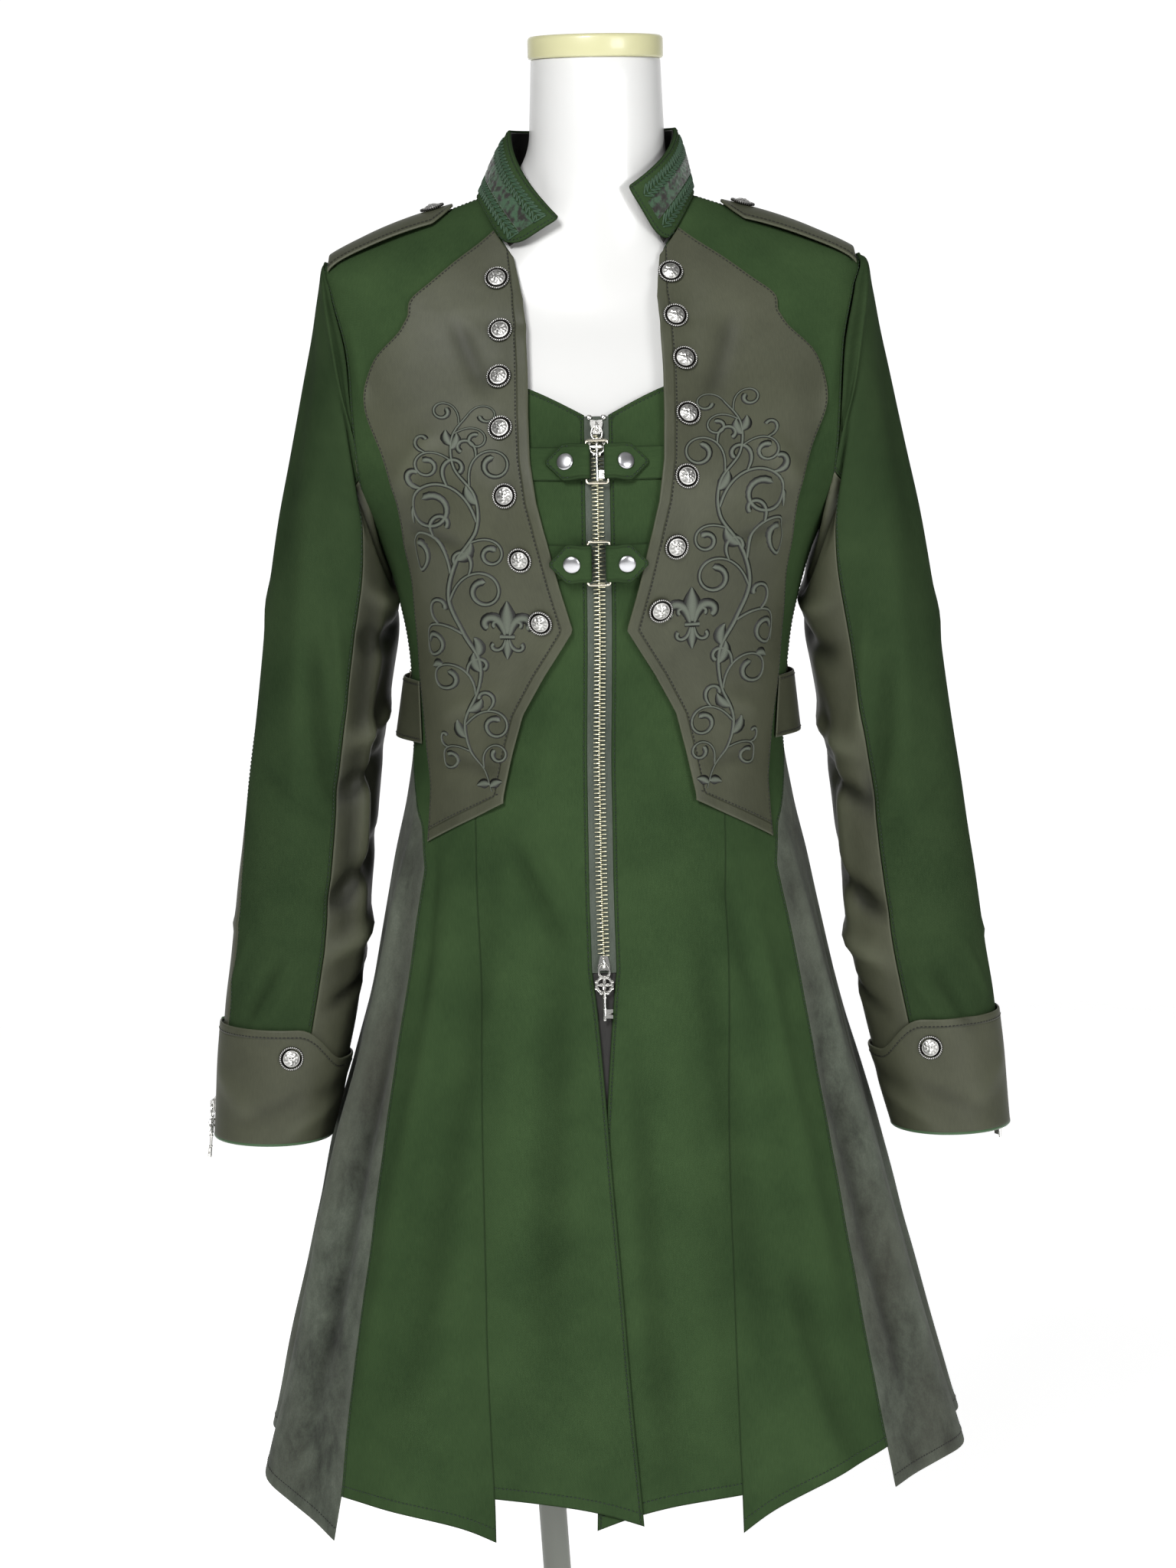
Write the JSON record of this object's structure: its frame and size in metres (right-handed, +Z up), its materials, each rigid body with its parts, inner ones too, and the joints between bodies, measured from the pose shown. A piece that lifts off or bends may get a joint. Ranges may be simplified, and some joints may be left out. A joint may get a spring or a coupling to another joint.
{
  "type": "women's military-style tail coat on a limbless dress form",
  "caption": "Fitted long-sleeved tail coat of green twill with taupe overlays, stand collar, buttons and straps, worn by a limbless dress form on a round-based stand.",
  "frame": {"origin": "on the floor below the body's middle, on the underside of the stand's base", "axes": "+Z up through the neck; the coat's front faces -Y; +X is to the right of someone looking at the front"},
  "size_m": [0.6218, 0.4322, 1.5307],
  "materials": {
    "green_twill": "matt cotton twill",
    "taupe_sateen": "soft sheen sateen with tone-on-tone embroidery",
    "grey_suede": "napped imitation suede",
    "zip_tape": "woven tape",
    "antique_silver": "antique silver",
    "bright_nickel": "polished nickel",
    "white_gloss": "gloss white",
    "yellow_gloss": "gloss pale yellow",
    "grey_paint": "satin grey paint"
  },
  "bodies": {
    "coat_and_form": {"form_torso": "white_gloss", "form_cap": "yellow_gloss", "form_stand": "grey_paint", "back": "green_twill", "front_centre_left": "green_twill", "front_centre_right": "green_twill", "front_side_left": "green_twill", "front_side_right": "green_twill", "side_gore_left": "grey_suede", "side_gore_right": "grey_suede", "overlay_left": "taupe_sateen", "overlay_right": "taupe_sateen", "collar": "green_twill", "shoulder_tab_left": "taupe_sateen", "shoulder_tab_right": "taupe_sateen", "sleeve_upper_left": "green_twill", "sleeve_upper_right": "green_twill", "sleeve_under_left": "taupe_sateen", "sleeve_under_right": "taupe_sateen", "cuff_left": "taupe_sateen", "cuff_right": "taupe_sateen", "zip_tape": "zip_tape", "strap_upper_left": "green_twill", "strap_upper_right": "green_twill", "strap_lower_left": "green_twill", "strap_lower_right": "green_twill", "ring_upper": "bright_nickel", "ring_lower": "bright_nickel", "side_strap_left": "taupe_sateen", "side_strap_right": "taupe_sateen", "side_ring_left": "bright_nickel", "side_ring_right": "bright_nickel", "back_tab_left": "taupe_sateen", "back_tab_right": "taupe_sateen", "slider_upper": "antique_silver", "slider_lower": "antique_silver", "slider_cuff_left": "antique_silver", "slider_cuff_right": "antique_silver", "button_left_1": "antique_silver", "button_left_2": "antique_silver", "button_left_3": "antique_silver", "button_left_4": "antique_silver", "button_left_5": "antique_silver", "button_left_6": "antique_silver", "button_left_7": "antique_silver", "button_right_1": "antique_silver", "button_right_2": "antique_silver", "button_right_3": "antique_silver", "button_right_4": "antique_silver", "button_right_5": "antique_silver", "button_right_6": "antique_silver", "button_right_7": "antique_silver", "button_tab_left": "antique_silver", "button_tab_right": "antique_silver", "button_cuff_left": "antique_silver", "button_cuff_right": "antique_silver"},
    "upper_key": {"key_upper": "antique_silver"},
    "lower_key": {"key_lower": "antique_silver"},
    "left_cuff_key": {"key_cuff_left": "antique_silver"},
    "right_cuff_key": {"key_cuff_right": "antique_silver"}
  },
  "joints": [
    {"name": "upper_key_swing", "type": "hinge", "parent": "coat_and_form", "child": "upper_key", "pos_m": [-0.001, -0.11785, 1.24698], "axis": [-1, 0, 0], "range_deg": [0, 1]},
    {"name": "lower_key_swing", "type": "hinge", "parent": "coat_and_form", "child": "lower_key", "pos_m": [-0.00214, -0.13679, 0.85372], "axis": [-1, 0, 0], "range_deg": [0, 100]},
    {"name": "left_cuff_key_swing", "type": "hinge", "parent": "coat_and_form", "child": "left_cuff_key", "pos_m": [-0.30656, 0.00238, 0.72191], "axis": [0.1363, 0.9907, -0.0024], "range_deg": [0, 100]},
    {"name": "right_cuff_key_swing", "type": "hinge", "parent": "coat_and_form", "child": "right_cuff_key", "pos_m": [0.3033, 0.02324, 0.72185], "axis": [0.5522, -0.8337, 0.005], "range_deg": [0, 100]}
  ]
}
